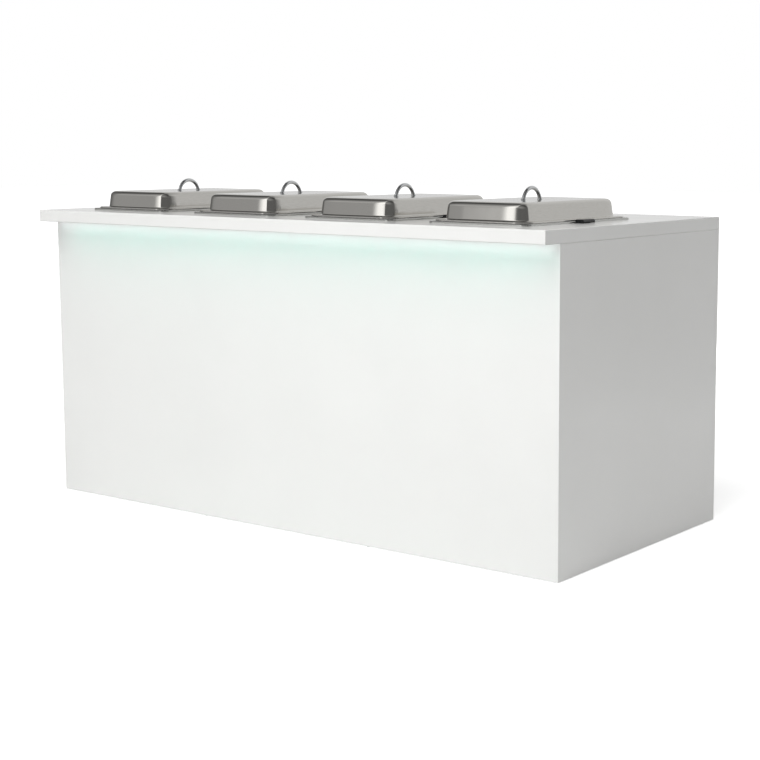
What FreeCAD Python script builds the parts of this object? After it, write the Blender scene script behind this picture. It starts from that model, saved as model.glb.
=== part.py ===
import FreeCAD, Part
import math
import os

# Buffet serving station: a white laminate counter with four drop-in chafing dishes.
# Millimetres, +Z up, origin on the floor under the middle of the counter's outline.
# The guests' side is -Y. The staff side, +Y, is open.

# Counter carcass
COUNTER_LENGTH = 2000.0
COUNTER_DEPTH = 960.0
COUNTER_HEIGHT = 950.0
TOP_THICKNESS = 38.0
TOP_EDGE_ROUND = 2.0
FRONT_OVERHANG = 70.0
BOARD = 18.0
JOINT_BEVEL = 1.5
BASE_CLEARANCE = 80.0
BACK_SETBACK = 22.0
FRONT_RAIL_HEIGHT = 60.0
BACK_RAIL_HEIGHT = 80.0
GLIDE_HEIGHT = 2.0
GLIDE_DIAMETER = 16.0
GLIDE_INSET = 70.0
GLIDE_EDGE = 1.0
BRACKET_LEG = 40.0
BRACKET_WIDTH = 30.0
BRACKET_SHEET = 2.5
BRACKET_INSET = 110.0

# Chafing dishes: a standard 530 by 325 food pan sets the sizes of what holds and covers it
CHAFER_COUNT = 4
CHAFER_END_MARGIN = 301.0
CHAFER_RAIL_GAP = 15.5
SHEET = 1.0
FOOD_RIM_LENGTH = 530.0
FOOD_RIM_WIDTH = 325.0
FOOD_RIM_CORNER = 42.0
FOOD_RIM_LEDGE = 12.5
FOOD_RIM_LIP = 4.0
FOOD_DEPTH = 65.0
FOOD_TAPER = 8.0
FOOD_FLOOR_ROUND = 14.0
PAN_CLEARANCE = 3.0
FLANGE_END_MARGIN = 8.0
FLANGE_SIDE_MARGIN = 9.5
FLANGE_CORNER = 24.0
FLANGE_LIP = 6.0
WATER_DEPTH = 104.0
WATER_TAPER = 6.0
WATER_FLOOR_ROUND = 16.0
CUTOUT_CLEARANCE = 3.0

# Covers and their bow handles
COVER_HEIGHT = 51.0
COVER_TAPER = 7.0
COVER_CORNER = 30.0
COVER_TOP_ROUND = 14.0
COVER_SIDE_LEDGE = 20.5
COVER_END_LEDGE = 23.5
COVER_SKIRT = 3.0
COVER_RIM_CLEARANCE = 1.0
HANDLE_ROD = 11.0
HANDLE_SPAN = 84.0
HANDLE_HEIGHT = 39.0
HANDLE_FOOT_DIAMETER = 15.0
HANDLE_FOOT_HEIGHT = 2.0
SCREW_DIAMETER = 4.0
SCREW_CLEARANCE = 0.3
SCREW_REACH = 12.0
SCREW_HEAD_DIAMETER = 9.0
SCREW_HEAD_HEIGHT = 3.0

# Black lift grips on the water pan's long edges
GRIP_LENGTH = 70.0
GRIP_REACH = 24.0
GRIP_HEIGHT = 10.0
GRIP_LIFT = 1.0
GRIP_CORNER = 7.0
GRIP_TOP_BEVEL = 2.5
GRIP_FINGER_RECESS = 5.0
TONGUE_LENGTH = 46.0
TONGUE_REACH = 14.0
TONGUE_CLEARANCE = 0.1

# Gel burners on the shelf under each water pan
BURNERS_PER_CHAFER = 2
BURNER_SPACING = 250.0
FLAME_SPACE = 56.0
HOLDER_DIAMETER = 92.0
HOLDER_HEIGHT = 72.0
HOLDER_RIM = 2.5
CAN_HEIGHT = 68.0
CAN_CLEARANCE = 1.5
CAN_RIM = 3.0
CAN_RECESS = 4.0
PIN_DIAMETER = 5.0
PIN_CLEARANCE = 0.3
PIN_REACH = 11.0
PIN_LUG_HEIGHT = 8.0
LID_SHEET = 1.2
LID_DISH = 3.0
LID_SLOPE = 18.0
LID_SEAT_GAP = 0.3
LID_TAB_LENGTH = 22.0
LID_TAB_WIDTH = 16.0

# Light line in a groove under the front overhang
LED_END_INSET = 15.0
LED_SETOUT = 22.0
LED_CHANNEL_WIDTH = 17.4
LED_CHANNEL_HEIGHT = 9.0
LED_WALL = 1.2
LED_GROOVE_CLEARANCE = 0.3
LED_DIFFUSER_THICKNESS = 1.4
LED_STRIP_WIDTH = 10.0
LED_STRIP_THICKNESS = 1.2
LED_CHIP = 5.0
LED_CHIP_HEIGHT = 0.9
LED_CHIP_PITCH = 40.0
LED_CAP_THICKNESS = 3.0
LED_LEAD_DIAMETER = 4.0
LED_LEAD_BEND = 12.0
LED_LEAD_FROM_END = 97.0
LEAD_CLEARANCE = 0.5

# Driver, internal mains lead, power inlet and switch
DRIVER_LENGTH = 108.0
DRIVER_HEIGHT = 38.0
DRIVER_DEPTH = 27.0
DRIVER_DROP = 22.0
DRIVER_END_GAP = 6.0
DRIVER_BEVEL = 2.5
DRIVER_SOCKET = 5.0
MAINS_LEAD_DIAMETER = 7.0
MAINS_LEAD_STANDOFF = 16.0
CLIP_WIDTH = 12.0
CLIP_WALL = 3.0
CLIP_COUNT = 3
INLET_WIDTH = 48.0
INLET_HEIGHT = 28.0
INLET_DEPTH = 32.0
INLET_FLANGE = 6.0
INLET_FLANGE_THICKNESS = 2.5
INLET_CLEARANCE = 0.5
INLET_FROM_END = 8.0
SOCKET_WIDTH = 24.0
SOCKET_HEIGHT = 16.5
SOCKET_DEPTH = 17.0
SOCKET_BEVEL = 4.5
SOCKET_OFFSET = 9.0
BLADE_WIDTH = 2.0
BLADE_HEIGHT = 4.0
BLADE_LENGTH = 15.0
BLADE_PITCH = 7.0
BLADE_EARTH_RISE = 4.0
BLADE_LIFT = 0.5
ROCKER_WIDTH = 12.0
ROCKER_RADIUS = 9.2
ROCKER_CLEARANCE = 0.4
ROCKER_OFFSET = 14.0
ROCKER_TILT = 8.0
ROCKER_RIDGE = 2.0
ROCKER_BACK = 3.0
ROCKER_PIVOT_DEPTH = 3.0
ROCKER_CAVITY = 14.0
TRUNNION_DIAMETER = 3.0
TRUNNION_REACH = 1.2

# Levels and faces that several pieces share
HALF_LENGTH = COUNTER_LENGTH / 2
INNER_X = HALF_LENGTH - BOARD
BACK_Y = COUNTER_DEPTH / 2
SLAB_FRONT_Y = -COUNTER_DEPTH / 2
FRONT_FACE_Y = SLAB_FRONT_Y + FRONT_OVERHANG
INNER_FRONT_Y = FRONT_FACE_Y + BOARD
FRONT_RAIL_BACK_Y = INNER_FRONT_Y + BOARD
RAIL_BACK_Y = BACK_Y - BACK_SETBACK
TOP_UNDERSIDE = COUNTER_HEIGHT - TOP_THICKNESS
BASE_TOP = BASE_CLEARANCE + BOARD
FLANGE_TOP = COUNTER_HEIGHT + FLANGE_LIP
FOOD_RIM_TOP = FLANGE_TOP + FOOD_RIM_LIP
COVER_RIM_TOP = FOOD_RIM_TOP + SHEET
COVER_TOP = COVER_RIM_TOP + COVER_HEIGHT
WATER_FLOOR = FLANGE_TOP - WATER_DEPTH
FOOD_MOUTH_LENGTH = FOOD_RIM_LENGTH - 2 * FOOD_RIM_LEDGE
FOOD_MOUTH_WIDTH = FOOD_RIM_WIDTH - 2 * FOOD_RIM_LEDGE
FOOD_MOUTH_CORNER = FOOD_RIM_CORNER - FOOD_RIM_LEDGE
WELL_GAP = PAN_CLEARANCE + SHEET
WELL_LENGTH = FOOD_MOUTH_LENGTH + 2 * WELL_GAP
WELL_WIDTH = FOOD_MOUTH_WIDTH + 2 * WELL_GAP
WELL_CORNER = FOOD_MOUTH_CORNER + WELL_GAP
FLANGE_LENGTH = FOOD_RIM_LENGTH + 2 * FLANGE_END_MARGIN
FLANGE_WIDTH = FOOD_RIM_WIDTH + 2 * FLANGE_SIDE_MARGIN
CHAFER_PITCH = (COUNTER_LENGTH - 2 * CHAFER_END_MARGIN) / (CHAFER_COUNT - 1)
CHAFER_Y = FRONT_RAIL_BACK_Y + CHAFER_RAIL_GAP + SHEET + WELL_LENGTH / 2
LID_UNDERSIDE = WATER_FLOOR - SHEET - FLAME_SPACE
SHELF_TOP = LID_UNDERSIDE - LID_SEAT_GAP - HOLDER_HEIGHT
PIN_OFFSET = HOLDER_DIAMETER / 2 + PIN_DIAMETER / 2 + HOLDER_RIM + PIN_CLEARANCE + 3 * LID_SHEET
LED_Y = FRONT_FACE_Y - LED_SETOUT
LED_HALF = HALF_LENGTH - LED_END_INSET
LED_TOP = TOP_UNDERSIDE + LED_CHANNEL_HEIGHT
LED_STRIP_UNDERSIDE = LED_TOP - LED_WALL - LED_STRIP_THICKNESS
LED_LEAD_X = LED_HALF - LED_LEAD_FROM_END
LED_LEAD_Z = LED_STRIP_UNDERSIDE - LED_LEAD_DIAMETER / 2
DRIVER_TOP = TOP_UNDERSIDE - DRIVER_DROP
DRIVER_MAX_X = INNER_X - DRIVER_END_GAP
MAINS_LEAD_X = INNER_X - MAINS_LEAD_STANDOFF
MAINS_LEAD_Z = DRIVER_TOP - DRIVER_HEIGHT / 2
INLET_X = INNER_X - INLET_FROM_END - INLET_FLANGE - INLET_WIDTH / 2
INLET_Z = MAINS_LEAD_Z
INLET_FACE_Y = RAIL_BACK_Y + INLET_FLANGE_THICKNESS
INLET_REAR_Y = INLET_FACE_Y - INLET_DEPTH
ROCKER_X = INLET_X + ROCKER_OFFSET
ROCKER_PIVOT_Y = INLET_FACE_Y - ROCKER_PIVOT_DEPTH


def point(x, y, z):
    return FreeCAD.Vector(x, y, z)


UP = point(0, 0, 1)
ALONG_X = point(1, 0, 0)
ALONG_Y = point(0, 1, 0)

# The four corners of a rectangle: signs of X and Y, and the angle where the corner's arc starts
CORNERS = ((1, 1, 0), (-1, 1, 90), (-1, -1, 180), (1, -1, 270))


def block(x0, x1, y0, y1, z0, z1):
    """A box between two corners."""
    return Part.makeBox(x1 - x0, y1 - y0, z1 - z0, point(x0, y0, z0))


def rod(diameter, length, start, direction=UP):
    return Part.makeCylinder(diameter / 2, length, start, direction)


def plate(corners, sweep):
    """A flat outline, given by its corners, pushed along a vector."""
    outline = Part.makePolygon([point(*corner) for corner in corners + corners[:1]])
    return Part.Face(outline).extrude(sweep)


def revolved(outline):
    """A solid of revolution about Z from (radius, height) corners."""
    corners = [point(radius, 0, height) for radius, height in outline + outline[:1]]
    return Part.Face(Part.makePolygon(corners)).revolve(point(0, 0, 0), UP, 360)


def bent_rod(diameter, route, bend):
    """A round rod along straight runs, with the same bend radius at every corner."""
    solids = []
    start = route[0]
    for corner, following in zip(route[1:-1], route[2:]):
        before = (corner - start).normalize()
        after = (following - corner).normalize()
        turn = before.getAngle(after)
        tangent = bend * math.tan(turn / 2)
        arc_start = corner - before * tangent
        axis = before.cross(after).normalize()
        centre = arc_start + axis.cross(before) * bend
        solids.append(rod(diameter, (arc_start - start).Length, start, before))
        section = Part.Face(Part.Wire(Part.makeCircle(diameter / 2, arc_start, before)))
        solids.append(section.revolve(centre, axis, math.degrees(turn)))
        start = corner + after * tangent
    last = (route[-1] - start).normalize()
    solids.append(rod(diameter, (route[-1] - start).Length, start, last))
    return solids[0].multiFuse(solids[1:]).removeSplitter()


def rounded_outline(width, length, radius, z):
    """A rectangle with round corners, centred on the Z axis: width along X, length along Y."""
    x = width / 2
    y = length / 2
    arcs = []
    for x_sign, y_sign, start in CORNERS:
        centre = point(x_sign * (x - radius), y_sign * (y - radius), z)
        arcs.append(Part.makeCircle(radius, centre, UP, start, start + 90))
    edges = []
    for arc, following in zip(arcs, arcs[1:] + arcs[:1]):
        edges.append(arc)
        edges.append(Part.makeLine(arc.lastVertex().Point, following.firstVertex().Point))
    return Part.Wire(edges)


def rounded_prism(width, length, radius, z0, z1):
    face = Part.Face(rounded_outline(width, length, radius, z0))
    return face.extrude(point(0, 0, z1 - z0))


def drawn_form(width, length, radius, mouth_z, floor_z, taper, floor_round):
    """A drafted block with a rounded floor edge, as deep drawing leaves a pan or a cover.

    The wall's section is pushed along each straight side and turned round each corner."""
    origin = point(0, 0, 0)
    x_axis = width / 2 - radius
    y_axis = length / 2 - radius
    section = wall_section(radius, mouth_z, floor_z, taper, floor_round)
    pieces = []
    for x_sign, y_sign, start in CORNERS:
        corner = section.revolve(origin, UP, 90)
        corner.rotate(origin, UP, start)
        pieces.append(corner.translated(point(x_sign * x_axis, y_sign * y_axis, 0)))
    for turn in (0, 180):
        for quarter, reach, run in ((0, x_axis, y_axis), (90, y_axis, x_axis)):
            wall = section.translated(point(reach, -run, 0)).extrude(point(0, 2 * run, 0))
            wall.rotate(origin, UP, turn + quarter)
            pieces.append(wall)
    core = block(-x_axis, x_axis, -y_axis, y_axis, min(mouth_z, floor_z), max(mouth_z, floor_z))
    return core.multiFuse(pieces).removeSplitter()


def wall_section(radius, mouth_z, floor_z, taper, floor_round):
    """The section from a corner's axis to the drafted wall, with the floor's round, in the XZ plane."""
    rise = mouth_z - floor_z
    lean = math.atan2(taper, abs(rise))
    tangent = floor_round * math.tan((math.pi / 2 - lean) / 2)
    into = math.copysign(1, rise)
    foot = radius - taper
    floor_end = point(foot - tangent, 0, floor_z)
    wall_start = point(foot + tangent * math.sin(lean), 0, floor_z + into * tangent * math.cos(lean))
    centre = point(floor_end.x, 0, floor_z + into * floor_round)
    outward = (floor_end + wall_start) * 0.5 - centre
    middle = centre + outward * (floor_round / outward.Length)
    mouth = point(radius, 0, mouth_z)
    axis_mouth = point(0, 0, mouth_z)
    axis_floor = point(0, 0, floor_z)
    edges = [Part.makeLine(axis_mouth, mouth), Part.makeLine(mouth, wall_start),
             Part.Arc(wall_start, middle, floor_end).toShape(),
             Part.makeLine(floor_end, axis_floor), Part.makeLine(axis_floor, axis_mouth)]
    return Part.Face(Part.Wire(edges))


def turned_rim(width, length, corner, top, lip):
    """A flat sheet rim whose outer edge is turned down."""
    outside = rounded_prism(width, length, corner, top - lip, top)
    inside = rounded_prism(width - 2 * SHEET, length - 2 * SHEET, corner - SHEET, top - lip, top - SHEET)
    return outside.cut(inside)


def pressed_pan(rim, width, length, corner, top, depth, taper, floor_round):
    """A rim with a drawn well hanging from its inner edge."""
    floor = top - depth
    outside = drawn_form(width + 2 * SHEET, length + 2 * SHEET, corner + SHEET, top, floor - SHEET, taper,
                         floor_round + SHEET)
    inside = drawn_form(width, length, corner, top, floor, taper, floor_round)
    return rim.fuse(outside).cut(inside).removeSplitter()


def chafer_places():
    first = -CHAFER_PITCH * (CHAFER_COUNT - 1) / 2
    return [point(first + CHAFER_PITCH * number, CHAFER_Y, 0) for number in range(CHAFER_COUNT)]


def burner_places():
    places = []
    for chafer in chafer_places():
        for number in range(BURNERS_PER_CHAFER):
            offset = BURNER_SPACING * (number - (BURNERS_PER_CHAFER - 1) / 2)
            places.append(point(chafer.x, chafer.y + offset, SHELF_TOP))
    return places


def counter_top():
    """The laminated slab: four round-cornered cut-outs and a groove for the light line."""
    slab = block(-HALF_LENGTH, HALF_LENGTH, SLAB_FRONT_Y, BACK_Y, TOP_UNDERSIDE, COUNTER_HEIGHT)
    top_edges = [edge for edge in slab.Edges if edge.BoundBox.ZMin > COUNTER_HEIGHT - 0.01]
    slab = slab.makeFillet(TOP_EDGE_ROUND, top_edges)
    margin = 2 * (SHEET + CUTOUT_CLEARANCE)
    hole = rounded_prism(WELL_WIDTH + margin, WELL_LENGTH + margin, WELL_CORNER + margin / 2,
                         TOP_UNDERSIDE, COUNTER_HEIGHT)
    for place in chafer_places():
        slab = slab.cut(hole.translated(place))
    half_width = LED_CHANNEL_WIDTH / 2 + LED_GROOVE_CLEARANCE
    groove_end = LED_HALF + LED_CAP_THICKNESS + LED_GROOVE_CLEARANCE
    groove = block(-groove_end, groove_end, LED_Y - half_width, LED_Y + half_width, TOP_UNDERSIDE, LED_TOP)
    return slab.cut(groove).cut(lead_slot())


def lead_slot():
    """A routed way over the front panel for the light's lead."""
    half = LED_LEAD_DIAMETER / 2 + LEAD_CLEARANCE
    slot_end = FRONT_RAIL_BACK_Y + DRIVER_DEPTH
    return block(LED_LEAD_X - half, LED_LEAD_X + half, LED_Y, slot_end, TOP_UNDERSIDE, LED_LEAD_Z + half)


def front_panel():
    """The guests' side, mitred into both end panels."""
    corners = [(-HALF_LENGTH, FRONT_FACE_Y, GLIDE_HEIGHT), (HALF_LENGTH, FRONT_FACE_Y, GLIDE_HEIGHT),
               (INNER_X, INNER_FRONT_Y, GLIDE_HEIGHT), (-INNER_X, INNER_FRONT_Y, GLIDE_HEIGHT)]
    return plate(corners, point(0, 0, TOP_UNDERSIDE - GLIDE_HEIGHT))


def end_panel(side):
    """An end panel with a mitred front edge and a fine bevel under the slab."""
    corners = [(side * HALF_LENGTH, FRONT_FACE_Y, GLIDE_HEIGHT), (side * HALF_LENGTH, BACK_Y, GLIDE_HEIGHT),
               (side * INNER_X, BACK_Y, GLIDE_HEIGHT), (side * INNER_X, INNER_FRONT_Y, GLIDE_HEIGHT)]
    panel = plate(corners, point(0, 0, TOP_UNDERSIDE - GLIDE_HEIGHT))
    outer = side * HALF_LENGTH
    bevel = [(outer, FRONT_FACE_Y, TOP_UNDERSIDE), (outer, FRONT_FACE_Y, TOP_UNDERSIDE - JOINT_BEVEL),
             (outer - side * JOINT_BEVEL, FRONT_FACE_Y, TOP_UNDERSIDE)]
    return panel.cut(plate(bevel, point(0, BACK_Y - FRONT_FACE_Y, 0)))


def base_panel():
    return block(-INNER_X, INNER_X, INNER_FRONT_Y, BACK_Y, BASE_CLEARANCE, BASE_TOP)


def back_plinth():
    return block(-INNER_X, INNER_X, RAIL_BACK_Y - BOARD, RAIL_BACK_Y, GLIDE_HEIGHT, BASE_CLEARANCE)


def front_top_rail():
    return block(-INNER_X, INNER_X, INNER_FRONT_Y, FRONT_RAIL_BACK_Y,
                 TOP_UNDERSIDE - FRONT_RAIL_HEIGHT, TOP_UNDERSIDE)


def back_top_rail():
    """The rail across the open back, cut out for the power inlet."""
    rail = block(-INNER_X, INNER_X, RAIL_BACK_Y - BOARD, RAIL_BACK_Y,
                 TOP_UNDERSIDE - BACK_RAIL_HEIGHT, TOP_UNDERSIDE)
    half_width = INLET_WIDTH / 2 + INLET_CLEARANCE
    half_height = INLET_HEIGHT / 2 + INLET_CLEARANCE
    hole = block(INLET_X - half_width, INLET_X + half_width, RAIL_BACK_Y - BOARD, RAIL_BACK_Y,
                 INLET_Z - half_height, INLET_Z + half_height)
    return rail.cut(hole)


def centre_partition():
    """The upright between the two bays, notched for both top rails."""
    x = -BOARD / 2
    corners = [(x, INNER_FRONT_Y, BASE_TOP), (x, RAIL_BACK_Y, BASE_TOP),
               (x, RAIL_BACK_Y, TOP_UNDERSIDE - BACK_RAIL_HEIGHT),
               (x, RAIL_BACK_Y - BOARD, TOP_UNDERSIDE - BACK_RAIL_HEIGHT),
               (x, RAIL_BACK_Y - BOARD, TOP_UNDERSIDE), (x, FRONT_RAIL_BACK_Y, TOP_UNDERSIDE),
               (x, FRONT_RAIL_BACK_Y, TOP_UNDERSIDE - FRONT_RAIL_HEIGHT),
               (x, INNER_FRONT_Y, TOP_UNDERSIDE - FRONT_RAIL_HEIGHT)]
    return plate(corners, point(BOARD, 0, 0))


def burner_shelf(side):
    x_near = side * BOARD / 2
    x_far = side * INNER_X
    return block(min(x_near, x_far), max(x_near, x_far), INNER_FRONT_Y, RAIL_BACK_Y - BOARD,
                 SHELF_TOP - BOARD, SHELF_TOP)


def floor_glides():
    """Nail-on glides under the panels' bottom edges."""
    end_x = HALF_LENGTH - BOARD / 2
    front_y = FRONT_FACE_Y + BOARD / 2
    plinth_y = RAIL_BACK_Y - BOARD / 2
    middle_x = HALF_LENGTH / 3
    spots = [(-end_x, FRONT_FACE_Y + GLIDE_INSET), (end_x, FRONT_FACE_Y + GLIDE_INSET),
             (-end_x, BACK_Y - GLIDE_INSET), (end_x, BACK_Y - GLIDE_INSET),
             (-middle_x, front_y), (middle_x, front_y), (-middle_x, plinth_y), (middle_x, plinth_y)]
    radius = GLIDE_DIAMETER / 2
    glide = revolved([(0, 0), (radius - GLIDE_EDGE, 0), (radius, GLIDE_EDGE), (radius, GLIDE_HEIGHT),
                      (0, GLIDE_HEIGHT)])
    return Part.Compound([glide.translated(point(x, y, 0)) for x, y in spots])


def bracket(x, y, z, x_sign):
    """A steel angle whose corner is at x, z: one leg runs along X above it, the other down."""
    sheet = BRACKET_SHEET
    leg = BRACKET_LEG
    front = y - BRACKET_WIDTH / 2
    tip = x + x_sign * leg
    inner = x + x_sign * sheet
    corners = [(x, front, z), (tip, front, z), (tip, front, z - sheet), (inner, front, z - sheet),
               (inner, front, z - leg), (x, front, z - leg)]
    return plate(corners, point(0, BRACKET_WIDTH, 0))


def corner_brackets():
    """Angles that tie the slab and the burner shelves to the uprights."""
    front_y = FRONT_RAIL_BACK_Y + BRACKET_INSET
    back_y = RAIL_BACK_Y - BOARD - BRACKET_INSET
    brackets = []
    for y in (front_y, back_y):
        for z in (TOP_UNDERSIDE, SHELF_TOP - BOARD):
            brackets.append(bracket(-INNER_X, y, z, 1))
            brackets.append(bracket(INNER_X, y, z, -1))
            brackets.append(bracket(-BOARD / 2, y, z, -1))
            brackets.append(bracket(BOARD / 2, y, z, 1))
    return Part.Compound(brackets)


def water_pan():
    """The well that drops into the counter, with a raised flange and two tongues for the grips."""
    rim = turned_rim(FLANGE_WIDTH, FLANGE_LENGTH, FLANGE_CORNER, FLANGE_TOP, FLANGE_LIP)
    for side in (-1, 1):
        root = side * (FLANGE_WIDTH / 2 - SHEET)
        tip = side * (FLANGE_WIDTH / 2 + TONGUE_REACH)
        rim = rim.fuse(block(min(root, tip), max(root, tip), -TONGUE_LENGTH / 2, TONGUE_LENGTH / 2,
                             FLANGE_TOP - SHEET, FLANGE_TOP))
    return pressed_pan(rim, WELL_WIDTH, WELL_LENGTH, WELL_CORNER, FLANGE_TOP, WATER_DEPTH,
                       WATER_TAPER, WATER_FLOOR_ROUND)


def food_pan():
    rim = turned_rim(FOOD_RIM_WIDTH, FOOD_RIM_LENGTH, FOOD_RIM_CORNER, FOOD_RIM_TOP, FOOD_RIM_LIP)
    return pressed_pan(rim, FOOD_MOUTH_WIDTH, FOOD_MOUTH_LENGTH, FOOD_MOUTH_CORNER, FOOD_RIM_TOP,
                       FOOD_DEPTH, FOOD_TAPER, FOOD_FLOOR_ROUND)


def handle_foot_places():
    return [point(0, side * HANDLE_SPAN / 2, COVER_TOP) for side in (-1, 1)]


def cover():
    """A drawn lid: its rim sits on the food pan's rim and a short skirt keeps it there."""
    margin = 2 * (COVER_RIM_CLEARANCE + SHEET)
    rim_width = FOOD_RIM_WIDTH + margin
    rim_length = FOOD_RIM_LENGTH + margin
    width = rim_width - 2 * COVER_SIDE_LEDGE
    length = rim_length - 2 * COVER_END_LEDGE
    rim = turned_rim(rim_width, rim_length, FOOD_RIM_CORNER + margin / 2, COVER_RIM_TOP, SHEET + COVER_SKIRT)
    outside = drawn_form(width, length, COVER_CORNER, COVER_RIM_TOP, COVER_TOP, COVER_TAPER, COVER_TOP_ROUND)
    inside = drawn_form(width - 2 * SHEET, length - 2 * SHEET, COVER_CORNER - SHEET, COVER_RIM_TOP - SHEET,
                        COVER_TOP - SHEET, COVER_TAPER, COVER_TOP_ROUND - SHEET)
    shell = rim.fuse(outside).cut(inside)
    hole_diameter = SCREW_DIAMETER + 2 * SCREW_CLEARANCE
    for foot in handle_foot_places():
        shell = shell.cut(rod(hole_diameter, 2 * SHEET, foot - UP * SHEET * 1.5))
    return shell.removeSplitter()


def cover_handle():
    """A chrome rod bent to one round bow on two turned feet, drilled from below for its screws."""
    rise = HANDLE_HEIGHT - HANDLE_ROD / 2
    bow_radius = ((HANDLE_SPAN / 2) ** 2 + rise ** 2) / (2 * rise)
    ring = Part.makeTorus(bow_radius, HANDLE_ROD / 2, point(0, 0, COVER_TOP + rise - bow_radius), ALONG_X)
    reach = bow_radius + HANDLE_ROD
    handle = ring.common(block(-reach, reach, -reach, reach, COVER_TOP, COVER_TOP + 2 * HANDLE_HEIGHT))
    radius = HANDLE_FOOT_DIAMETER / 2
    step = HANDLE_FOOT_HEIGHT / 2
    boss = revolved([(0, 0), (radius, 0), (radius, step), (radius - step, HANDLE_FOOT_HEIGHT),
                     (0, HANDLE_FOOT_HEIGHT)])
    bore_depth = SCREW_REACH - SHEET
    for foot in handle_foot_places():
        handle = handle.fuse(boss.translated(foot)).cut(rod(SCREW_DIAMETER, bore_depth, foot))
    return handle.removeSplitter()


def handle_screws():
    """Two screws that hold the handle from inside the cover."""
    head = SCREW_HEAD_DIAMETER / 2
    step = SCREW_HEAD_HEIGHT / 2
    shank = SCREW_DIAMETER / 2
    screw = revolved([(0, SCREW_REACH), (shank, SCREW_REACH), (shank, 0), (head, 0), (head, -step),
                      (head - step, -SCREW_HEAD_HEIGHT), (0, -SCREW_HEAD_HEIGHT)])
    return Part.Compound([screw.translated(foot - UP * SHEET) for foot in handle_foot_places()])


def lift_grips():
    """Two moulded grips, pushed onto the water pan's tongues, hollowed below for the fingers."""
    bottom = COUNTER_HEIGHT + GRIP_LIFT
    body = rounded_prism(2 * GRIP_REACH, GRIP_LENGTH, GRIP_CORNER, bottom, bottom + GRIP_HEIGHT)
    top_edges = [e for e in body.Edges if e.BoundBox.ZMin > bottom + GRIP_HEIGHT - 0.01]
    body = body.makeChamfer(GRIP_TOP_BEVEL, top_edges)
    body = body.common(block(0, GRIP_REACH, -GRIP_LENGTH / 2, GRIP_LENGTH / 2, bottom, bottom + GRIP_HEIGHT))
    fingers = rod(2 * GRIP_FINGER_RECESS, GRIP_LENGTH - 2 * GRIP_CORNER,
                  point(GRIP_REACH, -GRIP_LENGTH / 2 + GRIP_CORNER, bottom - GRIP_FINGER_RECESS / 2), ALONG_Y)
    half = TONGUE_LENGTH / 2 + TONGUE_CLEARANCE
    slot = block(0, TONGUE_REACH + TONGUE_CLEARANCE, -half, half,
                 FLANGE_TOP - SHEET - TONGUE_CLEARANCE, FLANGE_TOP + TONGUE_CLEARANCE)
    grip = body.cut(fingers).cut(slot).translated(point(FLANGE_WIDTH / 2, 0, 0))
    return Part.Compound([grip, grip.mirror(point(0, 0, 0), ALONG_X)])


def fuel_holder():
    """A steel cup with a rolled rim and a lug that carries the lid's pivot pin."""
    radius = HOLDER_DIAMETER / 2
    inner = radius - SHEET
    rim = radius + HOLDER_RIM
    rim_bottom = HOLDER_HEIGHT - HOLDER_RIM
    cup = revolved([(0, 0), (radius, 0), (radius, rim_bottom - HOLDER_RIM), (rim, rim_bottom),
                    (rim, HOLDER_HEIGHT), (inner, HOLDER_HEIGHT), (inner, SHEET), (0, SHEET)])
    lug_half = PIN_DIAMETER / 2 + HOLDER_RIM
    lug_bottom = HOLDER_HEIGHT - PIN_LUG_HEIGHT
    lug = block(radius - SHEET / 2, PIN_OFFSET, -lug_half, lug_half, lug_bottom, HOLDER_HEIGHT)
    lug = lug.fuse(rod(2 * lug_half, PIN_LUG_HEIGHT, point(PIN_OFFSET, 0, lug_bottom)))
    pin = rod(PIN_DIAMETER, PIN_REACH, point(PIN_OFFSET, 0, HOLDER_HEIGHT))
    return cup.fuse(lug).fuse(pin).removeSplitter()


def fuel_can():
    """A gel can with a raised rim, standing in its holder."""
    radius = HOLDER_DIAMETER / 2 - SHEET - CAN_CLEARANCE
    inner = radius - CAN_RIM
    top = SHEET + CAN_HEIGHT
    return revolved([(0, SHEET), (radius, SHEET), (radius, top), (inner, top), (inner, top - CAN_RECESS),
                     (0, top - CAN_RECESS)])


def burner_lid():
    """A dished swing lid: an ear on the pivot pin and a thumb tab on the far side."""
    radius = HOLDER_DIAMETER / 2 + HOLDER_RIM
    flat = radius - LID_SLOPE
    low = HOLDER_HEIGHT + LID_SEAT_GAP
    high = low + LID_DISH
    disc = revolved([(0, high), (flat, high), (radius, low), (radius, low + LID_SHEET),
                     (flat, high + LID_SHEET), (0, high + LID_SHEET)])
    ear_radius = PIN_DIAMETER / 2 + 3 * LID_SHEET
    ear = block(radius - HOLDER_RIM / 2, PIN_OFFSET, -ear_radius, ear_radius, low, low + LID_SHEET)
    ear = ear.fuse(rod(2 * ear_radius, LID_SHEET, point(PIN_OFFSET, 0, low)))
    tab = block(-radius - LID_TAB_LENGTH, -radius + HOLDER_RIM / 2, -LID_TAB_WIDTH / 2, LID_TAB_WIDTH / 2,
                low, low + LID_SHEET)
    tab_corners = [e for e in tab.Edges if e.Length < LID_SHEET + 0.01 and e.BoundBox.XMax < -radius - 1]
    tab = tab.makeFillet(LID_TAB_WIDTH / 3, tab_corners)
    lid = disc.fuse(ear).fuse(tab)
    hole = rod(PIN_DIAMETER + 2 * PIN_CLEARANCE, 2 * LID_SHEET, point(PIN_OFFSET, 0, low - LID_SHEET / 2))
    return lid.cut(hole).removeSplitter()


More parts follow.
